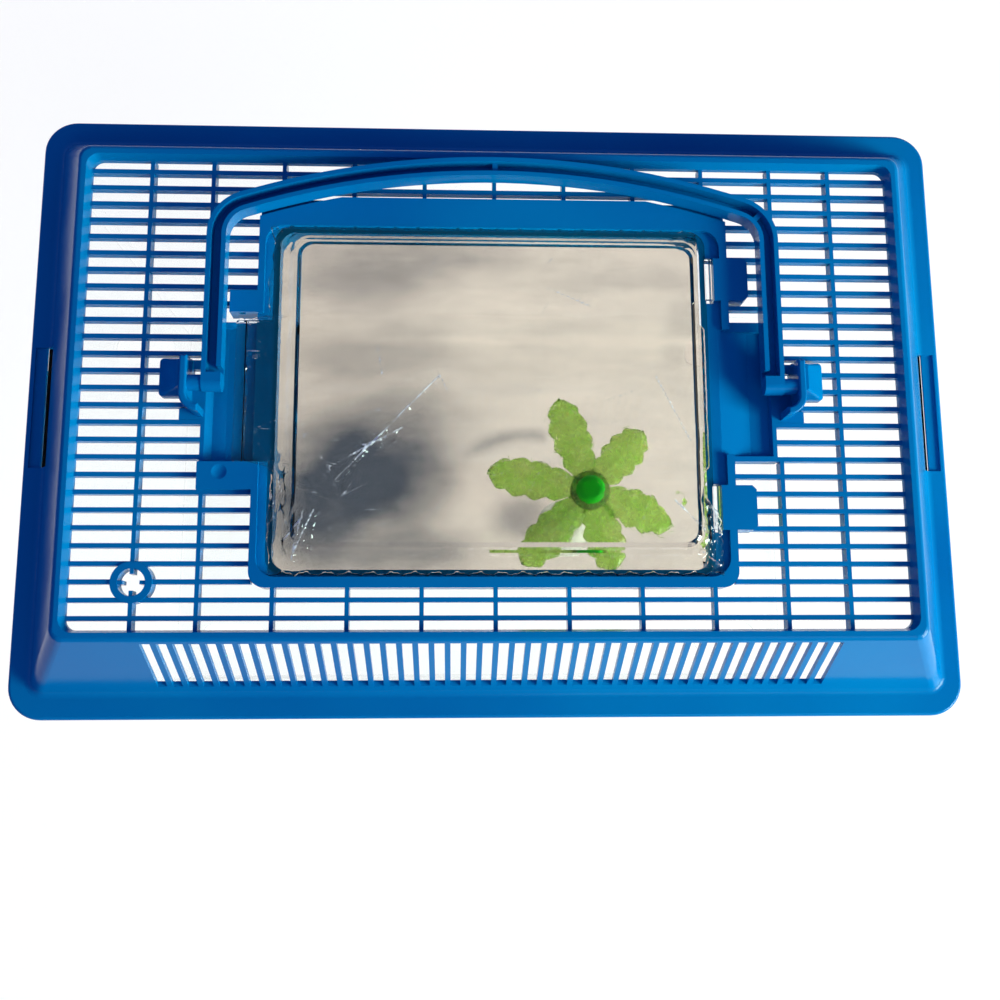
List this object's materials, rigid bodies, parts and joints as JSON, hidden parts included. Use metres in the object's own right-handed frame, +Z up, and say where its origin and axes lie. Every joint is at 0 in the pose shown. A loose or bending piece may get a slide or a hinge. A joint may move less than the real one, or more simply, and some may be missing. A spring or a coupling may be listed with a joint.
{
  "type": "plastic pet carrier",
  "caption": "Clear tapered plastic carrier tank with a slotted hooded lid, hinged clear hatch, folding carry handle and a small plastic plant inside.",
  "frame": {"origin": "middle of the footprint, on the plane the tank stands on", "axes": "+Z up, +X along the long side, -Y towards the front, hatch hinge towards -X"},
  "size_m": [0.3698, 0.2442, 0.23],
  "materials": {
    "tank_clear": "clear glossy plastic",
    "lid_blue": "glossy moulded",
    "hatch_clear": "clear glossy plastic",
    "film_clear": "thin milky film",
    "leaf_green": "soft translucent moulded",
    "plant_dark": "moulded"
  },
  "bodies": {
    "tank": {"tank": "tank_clear", "plant_base": "tank_clear", "plant_trunk": "plant_dark", "plant_leaves": "leaf_green", "plant_cap": "plant_dark"},
    "lid": {"lid": "lid_blue"},
    "handle": {"handle": "lid_blue"},
    "hatch": {"hatch": "hatch_clear", "hatch_film": "film_clear"}
  },
  "joints": [
    {"name": "lid_lift", "type": "slide", "parent": "tank", "child": "lid", "axis": [0, 0, 1], "range_m": [0, 0.1]},
    {"name": "handle_swing", "type": "hinge", "parent": "lid", "child": "handle", "pos_m": [0, 0, 0.226], "axis": [1, 0, 0], "range_deg": [0, 179]},
    {"name": "hatch_swing", "type": "hinge", "parent": "lid", "child": "hatch", "pos_m": [-0.095, 0, 0.2204], "axis": [0, -1, 0], "range_deg": [0, 100]}
  ]
}
